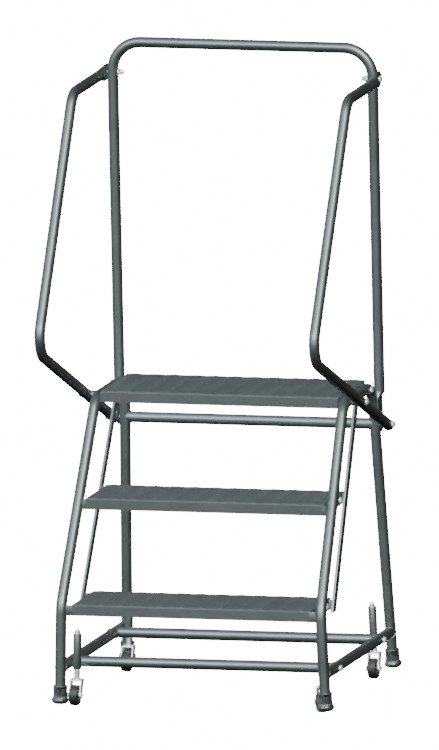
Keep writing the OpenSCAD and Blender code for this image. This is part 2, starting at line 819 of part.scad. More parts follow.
// The pressed fork: a top plate that turns on the stem, and two cheeks down to the axle
module fork(place) {
    axle = [-trail, wheel_z];
    front_top = [-fork_plate_y, fork_top_z - fork_t];
    rear_top = [fork_plate_y, fork_top_z - fork_t];
    color(zinc) at_caster(place) difference() {
        union() {
            translate([-fork_gap / 2 - fork_t, -fork_plate_y, fork_top_z - fork_t])
                cube([fork_gap + 2 * fork_t, 2 * fork_plate_y, fork_t]);
            for (x = [-fork_gap / 2 - fork_t, fork_gap / 2])
                translate([x, 0, 0]) stand_up() linear_extrude(height = fork_t) {
                    polygon([
                        front_top,
                        rear_top,
                        touch(rear_top, axle, axle_boss_r, -1),
                        touch(front_top, axle, axle_boss_r, 1),
                    ]);
                    translate(axle) circle(r = axle_boss_r);
                }
        }
        translate([0, 0, fork_top_z - 10]) cylinder(d = rod_hole_d, h = 20);
        translate([-30, -trail, wheel_z]) rotate([0, 90, 0]) cylinder(d = axle_hole_d, h = 60);
    }
}

// Axle bolt and its nut
module axle(place) {
    half = fork_gap / 2 + fork_t + eps;
    color(zinc) at_caster(place) translate([-half, -trail, wheel_z]) rotate([0, 90, 0]) {
        cylinder(d = axle_d, h = 2 * half + 5);
        translate([0, 0, -3.5]) cylinder(d = 11 / cos(30), h = 3.5, $fn = 6);
        translate([0, 0, 2 * half]) cylinder(d = 11 / cos(30), h = 5, $fn = 6);
    }
}

// A drawing of the wheel about its own axle, which lies along X
module at_wheel(place)
    at_caster(place) translate([0, -trail, wheel_z]) rotate([0, 90, 0]) children();

module hub(place) {
    boss_w = fork_gap - 1;
    web_w = 9;
    color(hub_grey) at_wheel(place) difference() {
        union() {
            cylinder(d = 15, h = boss_w, center = true);
            cylinder(d = hub_d, h = web_w, center = true);
            difference() {
                cylinder(d = hub_d, h = wheel_w - 3, center = true);
                cylinder(d = hub_d - 6, h = wheel_w, center = true);
            }
        }
        cylinder(d = axle_hole_d, h = fork_gap, center = true);
    }
}

// A tyre with a flat tread and rounded shoulders
module tyre(place) {
    in_r = hub_d / 2 + eps;
    out_r = wheel_d / 2;
    half = wheel_w / 2;
    color(dark_rubber) at_wheel(place) rotate_extrude() {
        translate([in_r, -half]) square([out_r - tyre_edge_r - in_r, wheel_w]);
        translate([in_r, -half + tyre_edge_r])
            square([out_r - in_r, wheel_w - 2 * tyre_edge_r]);
        for (v = [-1, 1])
            translate([out_r - tyre_edge_r, v * (half - tyre_edge_r)]) circle(r = tyre_edge_r);
    }
}

// ---- Parts ------------------------------------------------------------------------------

side_frame(LEFT);  // side_frame_left
side_frame(RIGHT);  // side_frame_right
base_rail(LEFT);  // base_rail_left
base_rail(RIGHT);  // base_rail_right
base_crossbar(front_bar_y);  // front_base_crossbar
base_crossbar(rear_bar_y);  // rear_base_crossbar
rear_upper_crossbar();
strut(LEFT);  // strut_left
strut(RIGHT);  // strut_right
step_brackets(LEFT);  // step_brackets_left
step_brackets(RIGHT);  // step_brackets_right
caster_sockets();
platform_tread();
upper_step();
lower_step();
guard_hoop();
handrail(LEFT);  // handrail_left
handrail(RIGHT);  // handrail_right
handrail_spacers();
foot(LEFT, front_leg_y, 0);  // foot_front_left
foot(RIGHT, front_leg_y, 0);  // foot_front_right
foot(LEFT, rear_leg_y(foot_gap), rear_lean);  // foot_rear_left
foot(RIGHT, rear_leg_y(foot_gap), rear_lean);  // foot_rear_right
handrail_end_plugs();
handrail_top_bolts();
handrail_top_nuts();
handrail_front_bolts();
handrail_rear_bolts();
platform_bolts();
step_bolts();
step_nuts();
crossbar_bolts();
stem(FRONT_LEFT);  // stem_front_left
stem(FRONT_RIGHT);  // stem_front_right
stem(REAR_LEFT);  // stem_rear_left
stem(REAR_RIGHT);  // stem_rear_right
stem_nut(FRONT_LEFT);  // stem_nut_front_left
stem_nut(FRONT_RIGHT);  // stem_nut_front_right
stem_nut(REAR_LEFT);  // stem_nut_rear_left
stem_nut(REAR_RIGHT);  // stem_nut_rear_right
spring(FRONT_LEFT);  // spring_front_left
spring(FRONT_RIGHT);  // spring_front_right
spring(REAR_LEFT);  // spring_rear_left
spring(REAR_RIGHT);  // spring_rear_right
fork(FRONT_LEFT);  // fork_front_left
fork(FRONT_RIGHT);  // fork_front_right
fork(REAR_LEFT);  // fork_rear_left
fork(REAR_RIGHT);  // fork_rear_right
axle(FRONT_LEFT);  // axle_front_left
axle(FRONT_RIGHT);  // axle_front_right
axle(REAR_LEFT);  // axle_rear_left
axle(REAR_RIGHT);  // axle_rear_right
hub(FRONT_LEFT);  // hub_front_left
hub(FRONT_RIGHT);  // hub_front_right
hub(REAR_LEFT);  // hub_rear_left
hub(REAR_RIGHT);  // hub_rear_right
tyre(FRONT_LEFT);  // tyre_front_left
tyre(FRONT_RIGHT);  // tyre_front_right
tyre(REAR_LEFT);  // tyre_rear_left
tyre(REAR_RIGHT);  // tyre_rear_right
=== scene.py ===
"""Mobile ladder stand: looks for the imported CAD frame. Metres, +X right, +Y rear, +Z up."""
import json
import math

import bmesh
import bpy
from mathutils import Matrix, Vector

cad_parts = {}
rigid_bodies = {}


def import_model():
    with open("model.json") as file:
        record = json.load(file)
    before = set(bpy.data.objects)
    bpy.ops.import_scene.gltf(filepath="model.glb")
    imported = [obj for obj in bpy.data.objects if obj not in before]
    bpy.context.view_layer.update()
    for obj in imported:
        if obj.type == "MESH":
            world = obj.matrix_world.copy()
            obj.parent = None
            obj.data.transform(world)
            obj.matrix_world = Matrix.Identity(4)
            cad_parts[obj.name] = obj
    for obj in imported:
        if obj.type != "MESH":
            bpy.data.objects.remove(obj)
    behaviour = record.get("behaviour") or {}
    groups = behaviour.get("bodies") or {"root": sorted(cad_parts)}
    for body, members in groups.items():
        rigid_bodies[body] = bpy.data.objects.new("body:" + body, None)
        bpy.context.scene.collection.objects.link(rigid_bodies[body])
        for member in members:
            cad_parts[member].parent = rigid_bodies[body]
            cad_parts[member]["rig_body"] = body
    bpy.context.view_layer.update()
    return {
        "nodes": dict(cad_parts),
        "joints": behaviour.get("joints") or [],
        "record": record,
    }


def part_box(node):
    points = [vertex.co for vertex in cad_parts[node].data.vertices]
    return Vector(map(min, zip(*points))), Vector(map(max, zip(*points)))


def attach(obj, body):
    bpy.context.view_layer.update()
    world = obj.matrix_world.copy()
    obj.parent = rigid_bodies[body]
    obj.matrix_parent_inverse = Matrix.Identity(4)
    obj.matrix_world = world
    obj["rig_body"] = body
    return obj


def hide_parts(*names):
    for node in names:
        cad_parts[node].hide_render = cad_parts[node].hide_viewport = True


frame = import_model()

MM = 0.001
SIDES = (("left", -1), ("right", 1))
CORNERS = [(end + "_" + side, end, hand) for end in ("front", "rear") for side, hand in SIDES]

# ---- Design dimensions, the same as the CAD frame's --------------------------------------

TUBE_R = 13.5 * MM
FLAT_T = 3.8 * MM              # a tube end pressed flat
FLAT_W = 41 * MM
TAPER = 32 * MM                # from the round tube to the flat
TOP_Z = 0.7244                 # centreline of the side frames' top tubes
TOP_HALF_W = 0.315
SPLAY = math.radians(1.9)
FRONT_LEAN = math.radians(32.7)
REAR_LEAN = math.radians(4.44)
RAIL_Z = 0.1024
FOOT_GAP = 0.014

# The hoop stands in one plane across the stand, and every Y below is counted from it
hoop_low, hoop_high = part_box("guard_hoop")
HOOP_Y = (hoop_low.y + hoop_high.y) / 2
LEG_FRONT_Y = -0.572
TOP_FRONT_Y = -0.274
TOP_REAR_Y = -0.008
HANDRAIL_X = 0.3495
HANDRAIL_TOP_Z = 1.4874
HOOP_HALF_W = 0.331
HOOP_TOP_Z = hoop_high.z - TUBE_R
UPPER_BAR_Z = 0.6277
HANDRAIL_LOW_Z = 0.6278         # lower run of a handrail where it passes the rear leg
BASE_BAR_YS = (-0.471, -0.0707)
FOOT_PAD = 8 * MM               # rubber under the end of a leg
GAP = 0.05 * MM                 # keeps touching parts from sharing volume
HOOP_FLAT_Z = 0.696             # a hoop post is round above this zone and flat below it
HOOP_ROUND_Z = 0.706


def world_y(y):
    return y + HOOP_Y


def plane_z(z):
    """Height along the leaning plane of a side frame, from its top tube."""
    return (z - TOP_Z) / math.cos(SPLAY)


def rear_leg_y(z):
    return TOP_REAR_Y + math.tan(REAR_LEAN) * (TOP_Z - z)


def frame_x(z):
    return TOP_HALF_W + math.tan(SPLAY) * (TOP_Z - z)


def mirror(hand):
    return Matrix.Scale(-1, 4, Vector((1, 0, 0))) if hand < 0 else Matrix.Identity(4)


def side_plane(hand):
    """The leaning plane of one side frame: its local Y and Z are the frame's, X crosses it."""
    lean = Matrix.Rotation(-SPLAY, 4, "Y")
    return mirror(hand) @ Matrix.Translation((TOP_HALF_W, HOOP_Y, TOP_Z)) @ lean


# ---- Materials ---------------------------------------------------------------------------

def node(tree, kind, **values):
    n = tree.nodes.new(kind)
    for key, value in values.items():
        if key in n.inputs:
            n.inputs[key].default_value = value
        else:
            setattr(n, key, value)
    return n


def surface(name, dark, light, rough, metallic=0.0, grain=900.0, bump=0.02, blotch=9.0,
            wear=None, specular=0.5):
    """A surface whose colour, roughness and fine relief all vary over the part."""
    rough_swing = 0.06
    mat = bpy.data.materials.new(name)
    mat.use_nodes = True
    tree = mat.node_tree
    link = tree.links.new
    shader = tree.nodes["Principled BSDF"]
    shader.inputs["Metallic"].default_value = metallic
    shader.inputs["Specular IOR Level"].default_value = specular

    place = node(tree, "ShaderNodeTexCoord")
    patches = node(tree, "ShaderNodeTexNoise", Scale=blotch, Detail=6.0, Roughness=0.6)
    link(place.outputs["Object"], patches.inputs["Vector"])
    specks = node(tree, "ShaderNodeTexNoise", Scale=grain, Detail=3.0, Roughness=0.55)
    link(place.outputs["Object"], specks.inputs["Vector"])

    blend = node(tree, "ShaderNodeMath", operation="MULTIPLY_ADD")
    link(specks.outputs["Fac"], blend.inputs[0])
    blend.inputs[1].default_value = 0.35
    link(patches.outputs["Fac"], blend.inputs[2])
    ramp = node(tree, "ShaderNodeValToRGB")
    ramp.color_ramp.elements[0].position = 0.45
    ramp.color_ramp.elements[0].color = (*dark, 1)
    ramp.color_ramp.elements[1].position = 0.9
    ramp.color_ramp.elements[1].color = (*light, 1)
    link(blend.outputs[0], ramp.inputs["Fac"])
    colour = ramp.outputs["Color"]

    if wear:
        edges = node(tree, "ShaderNodeNewGeometry")
        mask = node(tree, "ShaderNodeMapRange")
        mask.inputs["From Min"].default_value = 0.56
        mask.inputs["From Max"].default_value = 0.66
        link(edges.outputs["Pointiness"], mask.inputs["Value"])
        broken = node(tree, "ShaderNodeMath", operation="MULTIPLY")
        link(mask.outputs["Result"], broken.inputs[0])
        link(patches.outputs["Fac"], broken.inputs[1])
        mix = node(tree, "ShaderNodeMix", data_type="RGBA")
        link(broken.outputs[0], mix.inputs["Factor"])
        link(colour, mix.inputs["A"])
        mix.inputs["B"].default_value = (*wear, 1)
        colour = mix.outputs["Result"]
    link(colour, shader.inputs["Base Color"])

    gloss = node(tree, "ShaderNodeMapRange")
    gloss.inputs["To Min"].default_value = rough - rough_swing
    gloss.inputs["To Max"].default_value = rough + rough_swing
    link(patches.outputs["Fac"], gloss.inputs["Value"])
    link(gloss.outputs["Result"], shader.inputs["Roughness"])

    relief = node(tree, "ShaderNodeBump", Strength=bump)
    relief.inputs["Distance"].default_value = 0.0004
    link(specks.outputs["Fac"], relief.inputs["Height"])
    link(relief.outputs["Normal"], shader.inputs["Normal"])
    return mat


def make_materials():
    return {
        "frame_paint": surface(
            "grey_powder_coat", (0.138, 0.160, 0.160), (0.158, 0.181, 0.180), 0.48,
            metallic=0.6, specular=0.7, grain=1400, bump=0.10, wear=(0.20, 0.23, 0.23)),
        "tread_paint": surface(
            "tread_powder_coat", (0.112, 0.122, 0.123), (0.136, 0.146, 0.147), 0.58,
            metallic=0.2, specular=0.5, grain=1100, bump=0.16, blotch=14,
            wear=(0.18, 0.195, 0.195)),
        "zinc_fastener": surface(
            "bright_zinc", (0.88, 0.90, 0.92), (0.96, 0.97, 0.98), 0.48, metallic=1.0,
            grain=2200, bump=0.05, blotch=60),
        "zinc_pressing": surface(
            "zinc_plated_pressing", (0.88, 0.90, 0.92), (0.96, 0.97, 0.98), 0.50, metallic=1.0,
            grain=1600, bump=0.05, blotch=45),
        "zinc_turned": surface(
            "zinc_plated_turning", (0.88, 0.90, 0.92), (0.96, 0.97, 0.98), 0.46, metallic=1.0,
            grain=2600, bump=0.04, blotch=70),
        "spring_steel": surface(
            "oiled_spring_steel", (0.22, 0.22, 0.23), (0.36, 0.36, 0.38), 0.35, metallic=0.9,
            grain=1800, bump=0.06, blotch=80),
        "foot_rubber": surface(
            "grey_moulded_rubber", (0.085, 0.105, 0.102), (0.120, 0.140, 0.137), 0.40,
            grain=1500, bump=0.12, blotch=40),
        "tyre": surface(
            "dark_rubber", (0.022, 0.022, 0.023), (0.036, 0.036, 0.037), 0.62,
            grain=1300, bump=0.18, blotch=55, wear=(0.06, 0.06, 0.06)),
        "hub_plastic": surface(
            "dark_moulded_plastic", (0.040, 0.041, 0.043), (0.060, 0.061, 0.064), 0.48,
            grain=1700, bump=0.06, blotch=50),
        "plug_plastic": surface(
            "black_plug_plastic", (0.012, 0.012, 0.013), (0.022, 0.022, 0.023), 0.42,
            grain=1700, bump=0.06, blotch=50),
    }


materials = make_materials()


# ---- Mesh helpers ------------------------------------------------------------------------

def piece(name, bm, body, slot, replaces=(), smooth_angle=35):
    """Turns a bmesh into a finished piece: shaded, given its material and put on its body."""
    bmesh.ops.recalc_face_normals(bm, faces=bm.faces)
    mesh = bpy.data.meshes.new(name)
    bm.to_mesh(mesh)
    bm.free()
    mesh.shade_smooth()
    mesh.set_sharp_from_angle(angle=math.radians(smooth_angle))
    mesh.materials.append(materials[slot])
    obj = bpy.data.objects.new(name, mesh)
    bpy.context.scene.collection.objects.link(obj)
    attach(obj, body)
    if replaces:
        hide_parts(*replaces)


def loft(bm, rings, cap=True):
    """Joins rings of equal length into a skin, closed at both ends."""
    loops = [[bm.verts.new(p) for p in ring] for ring in rings]
    count = len(loops[0])
    for a, b in zip(loops, loops[1:]):
        for i in range(count):
            j = (i + 1) % count
            bm.faces.new((a[i], a[j], b[j], b[i]))
    if cap:
        bm.faces.new(loops[0])
        bm.faces.new(list(reversed(loops[-1])))


def lathe(bm, outline, turns=48, place=Matrix.Identity(4), radius=None):
    """Spins a closed outline of (radius, height) points about local Z."""
    loops = []
    for k in range(turns):
        a = 2 * math.pi * k / turns
        ring = []
        for r, z in outline:
            r = radius(r, z, a) if radius else r
            ring.append(bm.verts.new(place @ Vector((r * math.cos(a), r * math.sin(a), z))))
        loops.append(ring)
    count = len(outline)
    for k in range(turns):
        a, b = loops[k], loops[(k + 1) % turns]
        for i in range(count):
            j = (i + 1) % count
            if outline[i][0] < 1e-6 and outline[j][0] < 1e-6:
                continue
            bm.faces.new((a[i], b[i], b[j], a[j]))
    bmesh.ops.remove_doubles(bm, verts=bm.verts, dist=1e-7)


def path_points(corners, radii, bend_step=math.radians(4), run_step=0.04):
    """A 2-D centreline through the corners, with a round bend at each inner one."""
    points = [Vector(corners[0])]

    def run_to(p):
        a = points[-1]
        n = max(1, round((p - a).length / run_step))
        points.extend(a.lerp(p, i / n) for i in range(1, n + 1))

    for i in range(1, len(corners) - 1):
        c = Vector(corners[i])
        a = (c - Vector(corners[i - 1])).normalized()
        b = (Vector(corners[i + 1]) - c).normalized()
        turn = math.acos(max(-1, min(1, a.dot(b))))
        reach = radii[i] * math.tan(turn / 2)
        start = c - a * reach
        hand = 1 if a.x * b.y - a.y * b.x > 0 else -1
        centre = start + Vector((-a.y, a.x)) * hand * radii[i]
        run_to(start)
        n = max(4, round(turn / bend_step))
        spoke = start - centre
        for k in range(1, n + 1):
            t = hand * turn * k / n
            points.append(centre + Vector((
                spoke.x * math.cos(t) - spoke.y * math.sin(t),
                spoke.x * math.sin(t) + spoke.y * math.cos(t))))
    run_to(Vector(corners[-1]))
    return points


def sweep(bm, points, place, shape, sides=40):
    """Sweeps a section along a 2-D path. shape(i, s, rest) gives, for point i with s metres
    behind it and rest metres ahead, the half width in the path's plane, the half width across
    it, the offset across it and how square the section is. place takes (in-plane u, v, across)."""
    count = len(points)
    lengths = [0.0]
    for a, b in zip(points, points[1:]):
        lengths.append(lengths[-1] + (b - a).length)
    rings = []
    for i, p in enumerate(points):
        a = points[max(i - 1, 0)]
        b = points[min(i + 1, count - 1)]
        along = (b - a).normalized()
        normal = Vector((-along.y, along.x))
        half_in, half_over, over, square = shape(i, lengths[i], lengths[-1] - lengths[i])
        ring = []
        for k in range(sides):
            t = 2 * math.pi * k / sides
            c, s = math.cos(t), math.sin(t)
            power = 1 - square * 0.62
            x = math.copysign(abs(c) ** power, c) * half_in
            y = math.copysign(abs(s) ** power, s) * half_over
            q = p + normal * x
            ring.append(place @ Vector((q.x, q.y, over + y)))
        rings.append(ring)
    loft(bm, rings)


def round_tube(i, s, rest):
    return TUBE_R, TUBE_R, 0.0, 0.0


# Takes a (Y, Z, X) drawing into the stand's axes
UPRIGHT = Matrix(((0, 0, 1, 0), (1, 0, 0, 0), (0, 1, 0, 0), (0, 0, 0, 1)))
# Takes an (X, Z, Y) drawing into the stand's axes
ACROSS = Matrix(((1, 0, 0, 0), (0, 0, 1, 0), (0, 1, 0, 0), (0, 0, 0, 1)))


def smooth_step(t):
    t = max(0.0, min(1.0, t))
    return t * t * (3 - 2 * t)


# ---- Bent tubes --------------------------------------------------------------------------

def side_frame(name, hand):
    leg_end_z = FOOT_GAP + FOOT_PAD
    leg_end = plane_z(leg_end_z)
    knee = TOP_Z - (TOP_FRONT_Y - LEG_FRONT_Y) / math.tan(FRONT_LEAN)
    corners = [
        (LEG_FRONT_Y, leg_end),
        (LEG_FRONT_Y, plane_z(knee)),
        (TOP_FRONT_Y, 0),
        (TOP_REAR_Y, 0),
        (rear_leg_y(leg_end_z), leg_end),
    ]
    bm = bmesh.new()
    path = path_points(corners, (0, 0.076, 0.060, 0.060, 0))
    sweep(bm, path, side_plane(hand) @ UPRIGHT, round_tube)
    piece("bent_side_frame_" + name, bm, "root", "frame_paint", ["side_frame_" + name])


def pressed_end(distance, round_half, flat_half):
    """Half width of a tube at some distance from its bolt, where it is pressed flat."""
    t = smooth_step((distance - FLAT_W / 2) / TAPER)
    return flat_half + (round_half - flat_half) * t


def rounded_tip(distance):
    """Narrows the last half width of a pressed end to a semicircle."""
    if distance >= 0:
        return 1.0
    return math.sqrt(max(0.0, 1 - (distance / (FLAT_W / 2)) ** 2))


def tip_points(points, direction):
    """Adds the rounded tip beyond the bolt at the end of a path."""
    tip = [points[-1] + direction * (FLAT_W / 2) * math.sin(math.radians(a))
           for a in (15, 30, 45, 60, 72, 82, 88)]
    return points + tip


def handrail(name, hand):
    nose = (-0.6768, 0.9081)
    slope = (HANDRAIL_LOW_Z - nose[1]) / (0 - nose[0])
    end_y = 0.013
    corners = [
        (end_y, HANDRAIL_LOW_Z + slope * end_y),
        nose,
        (-0.3035, HANDRAIL_TOP_Z),
        (0, HANDRAIL_TOP_Z),
    ]
    points = path_points(corners, (0, 0.060, 0.060, 0), run_step=0.006)
    points = tip_points(points, Vector((1, 0)))
    flat_x = HOOP_HALF_W + TUBE_R + FLAT_T / 2 - HANDRAIL_X + GAP

    def shape(i, s, rest):
        from_bolt = rest - FLAT_W / 2
        flat = 1 - smooth_step((from_bolt - FLAT_W / 2) / TAPER)
        tall = pressed_end(from_bolt, TUBE_R, FLAT_W / 2) * rounded_tip(from_bolt)
        thick = pressed_end(from_bolt, TUBE_R, FLAT_T / 2)
        return max(tall, 0.2 * MM), thick, flat_x * flat, flat

    place = mirror(hand) @ Matrix.Translation((HANDRAIL_X, HOOP_Y, 0)) @ UPRIGHT
    bm = bmesh.new()
    sweep(bm, points, place, shape)
    piece("bent_handrail_" + name, bm, "root", "frame_paint", ["handrail_" + name])


def guard_hoop():
    """Both halves share one path, from the flat on one leg to the flat on the other."""
    flat_mid_z = 0.609 + FLAT_W / 2
    start = (-HOOP_HALF_W, flat_mid_z)
    corners = [start, (-HOOP_HALF_W, HOOP_TOP_Z), (HOOP_HALF_W, HOOP_TOP_Z),
               (HOOP_HALF_W, flat_mid_z)]
    points = path_points(corners, (0, 0.072, 0.072, 0), run_step=0.006)
    points = tip_points(points, Vector((0, -1)))
    points = tip_points(points[::-1], Vector((0, -1)))[::-1]

    def shape(i, s, rest):
        from_bolt = min(s, rest) - FLAT_W / 2
        z = points[i].y
        flat = 1 - smooth_step((z - HOOP_FLAT_Z) / (HOOP_ROUND_Z - HOOP_FLAT_Z))
        wide = FLAT_W / 2 * flat + TUBE_R * (1 - flat)
        thick = FLAT_T / 2 * flat + TUBE_R * (1 - flat)
        return thick, max(wide * rounded_tip(from_bolt), 0.2 * MM), 0.0, flat

    bm = bmesh.new()
    place = Matrix.Translation((0, HOOP_Y, 0)) @ ACROSS
    sweep(bm, points, place, shape)
    # the pressed ends lean out with the rear legs they lie on
    for v in bm.verts:
        z = v.co.z
        flat = 1 - smooth_step((z - HOOP_FLAT_Z) / (HOOP_ROUND_Z - HOOP_FLAT_Z))
        if flat > 0:
            hand = 1 if v.co.x > 0 else -1
            on_leg = frame_x(z) + (TUBE_R + FLAT_T / 2) / math.cos(SPLAY) + GAP
            v.co.x += hand * (on_leg - HOOP_HALF_W) * flat
    piece("bent_guard_hoop", bm, "root", "frame_paint", ["guard_hoop"])


def weld_bead(bm, place, seed):
    """A rippled bead round the end of a tube, along local Z, that meets a tube along local Y."""
    rings = []
    steps = 72
    for k in range(steps + 1):
        t = 2 * math.pi * (k % steps) / steps
        across, along = TUBE_R * math.cos(t), TUBE_R * math.sin(t)
        out = math.sqrt(max(TUBE_R ** 2 - across ** 2, (3 * MM) ** 2))
        spoke = Vector((math.cos(t), math.sin(t), 0))
        lift = Vector((0, 0, 1))
        r = 1.9 * MM * (1 + 0.16 * math.sin(t * 24 + seed) + 0.08 * math.sin(t * 5 + 2 * seed))
        centre = Vector((across, along, out)) + spoke * 0.3 * MM + lift * 0.3 * MM
        rings.append([place @ (centre + (spoke * math.cos(a) + lift * math.sin(a)) * r)
                      for a in (2 * math.pi * i / 8 for i in range(8))])
    loft(bm, rings, cap=False)


def weld_beads():
    """Beads where the base rails, the crossbars and the legs meet."""
    bm = bmesh.new()
    turn = Matrix.Rotation
    quarter = math.radians(90)
    for side, hand in SIDES:
        rail = side_plane(hand) @ Matrix.Translation((0, 0, plane_z(RAIL_Z)))
        front = rail @ Matrix.Translation((0, LEG_FRONT_Y, 0)) @ turn(-quarter, 4, "X")
        rear = rail @ Matrix.Translation((0, rear_leg_y(RAIL_Z), 0))
        rear = rear @ turn(REAR_LEAN, 4, "X") @ turn(quarter, 4, "X")
        weld_bead(bm, front, 1 + hand)
        weld_bead(bm, rear, 4 + hand)
        bar_ends = [(y, RAIL_Z) for y in BASE_BAR_YS] + [(0, UPPER_BAR_Z)]
        for k, (y, z) in enumerate(bar_ends):
            end = mirror(hand) @ Matrix.Translation((frame_x(z), world_y(y), z))
            end = end @ turn(-quarter, 4, "Y")
            if z != RAIL_Z:
                end = end @ turn(quarter, 4, "Z")
            weld_bead(bm, end, 7 + k + hand)
    bmesh.ops.remove_doubles(bm, verts=bm.verts, dist=1e-7)
    piece("weld_beads", bm, "root", "frame_paint", smooth_angle=60)


# ---- Treads ------------------------------------------------------------------------------

def tread(node_name):
    """A pressed tread: folded flanges and a raised top with broad, shallow grip ribs."""
    low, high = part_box(node_name)
    rib_h = 3 * MM
    dip = 0.9 * MM                 # how far the top falls between two ribs
    crease_h = 0.6 * MM            # a narrow ridge along the crest of each rib
    crease_half = 1.8 * MM
    top = high.z - rib_h
    depth = high.y - low.y
    half = high.x
    sheet = 2.5 * MM
    pitch = 50.8 * MM
    fold = 1.2 * MM
    count = 12
    ribs = [(i - (count - 1) / 2) * pitch for i in range(count)]

    def crown(x, y):
        nearest = min(abs(x - r) for r in ribs)
        wave = rib_h - crease_h * min(nearest / crease_half, 1)
        wave -= dip * (0.5 - 0.5 * math.cos(2 * math.pi * min(nearest / pitch, 0.5)))
        edge = smooth_step((min(y, depth - y) - fold) / (2.4 * MM))
        return wave * edge

    def seam(x, y):
        nearest = min(abs(x - r) for r in ribs)
        between = smooth_step((nearest - 15 * MM) / (4 * MM))
        across = smooth_step((1.5 * MM - abs(y - 6 * MM)) / (0.8 * MM))
        return -1.6 * MM * between * across

    offsets = [t * MM for t in (-25.4, -19, -17, -15, -10, -5, -1.8, 0, 1.8, 5, 10, 15, 17, 19)]
    xs = sorted({round(r + t, 6) for r in ribs for t in offsets if abs(r + t) < half}
                | {-half, half})
    ys = [t * MM for t in (1.2, 1.8, 2.4, 3.0, 3.6, 4.6, 5.2, 6.0, 6.8, 7.4, 9)]
    ys += [9 * MM + (depth - 18 * MM) * i / 12 for i in range(1, 13)]
    ys += [depth - t * MM for t in (3.6, 3.0, 2.4, 1.8, 1.2)]

    def section(x):
        """Outer line over the tread from the front flange's foot to the rear flange's foot."""
        line = [(0, -25.4 * MM), (0, -24.9 * MM), (0, -14 * MM), (0, -fold - 0.5 * MM), (0, -fold)]
        line += [(fold * (1 - math.cos(a)), -fold * (1 - math.sin(a)))
                 for a in (math.radians(d) for d in (25, 50, 72))]
        line += [(y, crown(x, y) + seam(x, y)) for y in ys]
        line += [(depth - y, z) for y, z in reversed(line[:8])]
        return line

    bm = bmesh.new()
    outer = [[bm.verts.new((x, low.y + y, top + z)) for y, z in section(x)] for x in xs]
    inner = []
    for x in xs:
        line = section(x)
        ring = []
        for y, z in line:
            inside_y = min(max(y, sheet), depth - sheet)
            inside_z = z - sheet if sheet <= y <= depth - sheet else min(z, -sheet)
            ring.append(bm.verts.new((x, low.y + inside_y, top + inside_z)))
        inner.append(ring)
    last = len(outer[0]) - 1
    for i in range(len(xs) - 1):
        for j in range(last):
            bm.faces.new((outer[i][j], outer[i + 1][j], outer[i + 1][j + 1], outer[i][j + 1]))
            bm.faces.new((inner[i][j], inner[i][j + 1], inner[i + 1][j + 1], inner[i + 1][j]))
        for j in (0, last):
            bm.faces.new((outer[i][j], inner[i][j], inner[i + 1][j], outer[i + 1][j]))
    for i in (0, len(xs) - 1):
        for j in range(last):
            bm.faces.new((outer[i][j], outer[i][j + 1], inner[i][j + 1], inner[i][j]))
    # end plates, welded in just under the top
    for hand in (-1, 1):
        x0, x1 = sorted((hand * (half - 3 * MM), hand * half))
        plate_low = Vector((x0, low.y + sheet, top - 25.4 * MM))
        plate_high = Vector((x1, high.y - sheet, top - sheet * 0.8))
        block = bmesh.ops.create_cube(bm, size=1)["verts"]
        middle, size = (plate_low + plate_high) / 2, plate_high - plate_low
        for v in block:
            v.co = Vector(v.co[k] * size[k] + middle[k] for k in range(3))
    piece("pressed_" + node_name, bm, "root", "tread_paint", [node_name], smooth_angle=50)


# ---- Feet --------------------------------------------------------------------------------

def foot(name, end, hand):
    """A rubber foot with a rim, a fluted collar and a rounded, flaring base."""
    y, lean = (LEG_FRONT_Y, 0.0) if end == "front" else (rear_leg_y(FOOT_GAP), REAR_LEAN)
    flutes = 16
    outline = [
        (0, -3), (13.6, -3), (15.4, 0.2), (17.2, 1.4), (19.4, 3.4), (20.8, 5.6), (21.4, 7.6),
        (21.45, 9.0), (21.1, 10.6), (20.2, 12.4), (18.9, 14.8), (17.9, 17), (17.35, 19.5),
        (17.2, 23), (17.2, 28), (17.2, 34), (17.25, 38.6), (17.3, 39.6), (17.7, 40.2),
        (17.7, 43.6), (17.2, 44.9), (16.0, 45.6), (14.2, 45.8), (13.56, 45.2), (13.56, 8),
        (0, 8),
    ]

    def fluted(r, z, a):
        if r < 16.9 * MM:
            return r
        span = smooth_step((z - 12 * MM) / (4 * MM)) * smooth_step((39.6 * MM - z) / (1.5 * MM))
        groove = max(0.0, math.cos(a * flutes)) ** 1.5
        return r - 1.6 * MM * groove * span

    place = side_plane(hand) @ Matrix.Translation((0, y, plane_z(FOOT_GAP)))
    place = place @ Matrix.Rotation(lean, 4, "X")
    bm = bmesh.new()
    lathe(bm, [(r * MM, z * MM) for r, z in outline], 96, place, fluted)
    for v in bm.verts:
        v.co.z = max(v.co.z, FOOT_GAP)
    bmesh.ops.remove_doubles(bm, verts=bm.verts, dist=1e-6)
    piece("moulded_foot_" + name, bm, "root", "foot_rubber", ["foot_" + name])


# ---- Casters -----------------------------------------------------------------------------

def joint(name):
    for j in frame["joints"]:
        if j["name"] == name:
            return Vector(j["pos_m"]), Vector(j["axis"]).normalized()
    raise KeyError(name)


def axis_place(pos, axis):
    """A place whose local Z runs along the axis."""
    return Matrix.Translation(pos) @ axis.to_track_quat("Z", "Y").to_matrix().to_4x4()


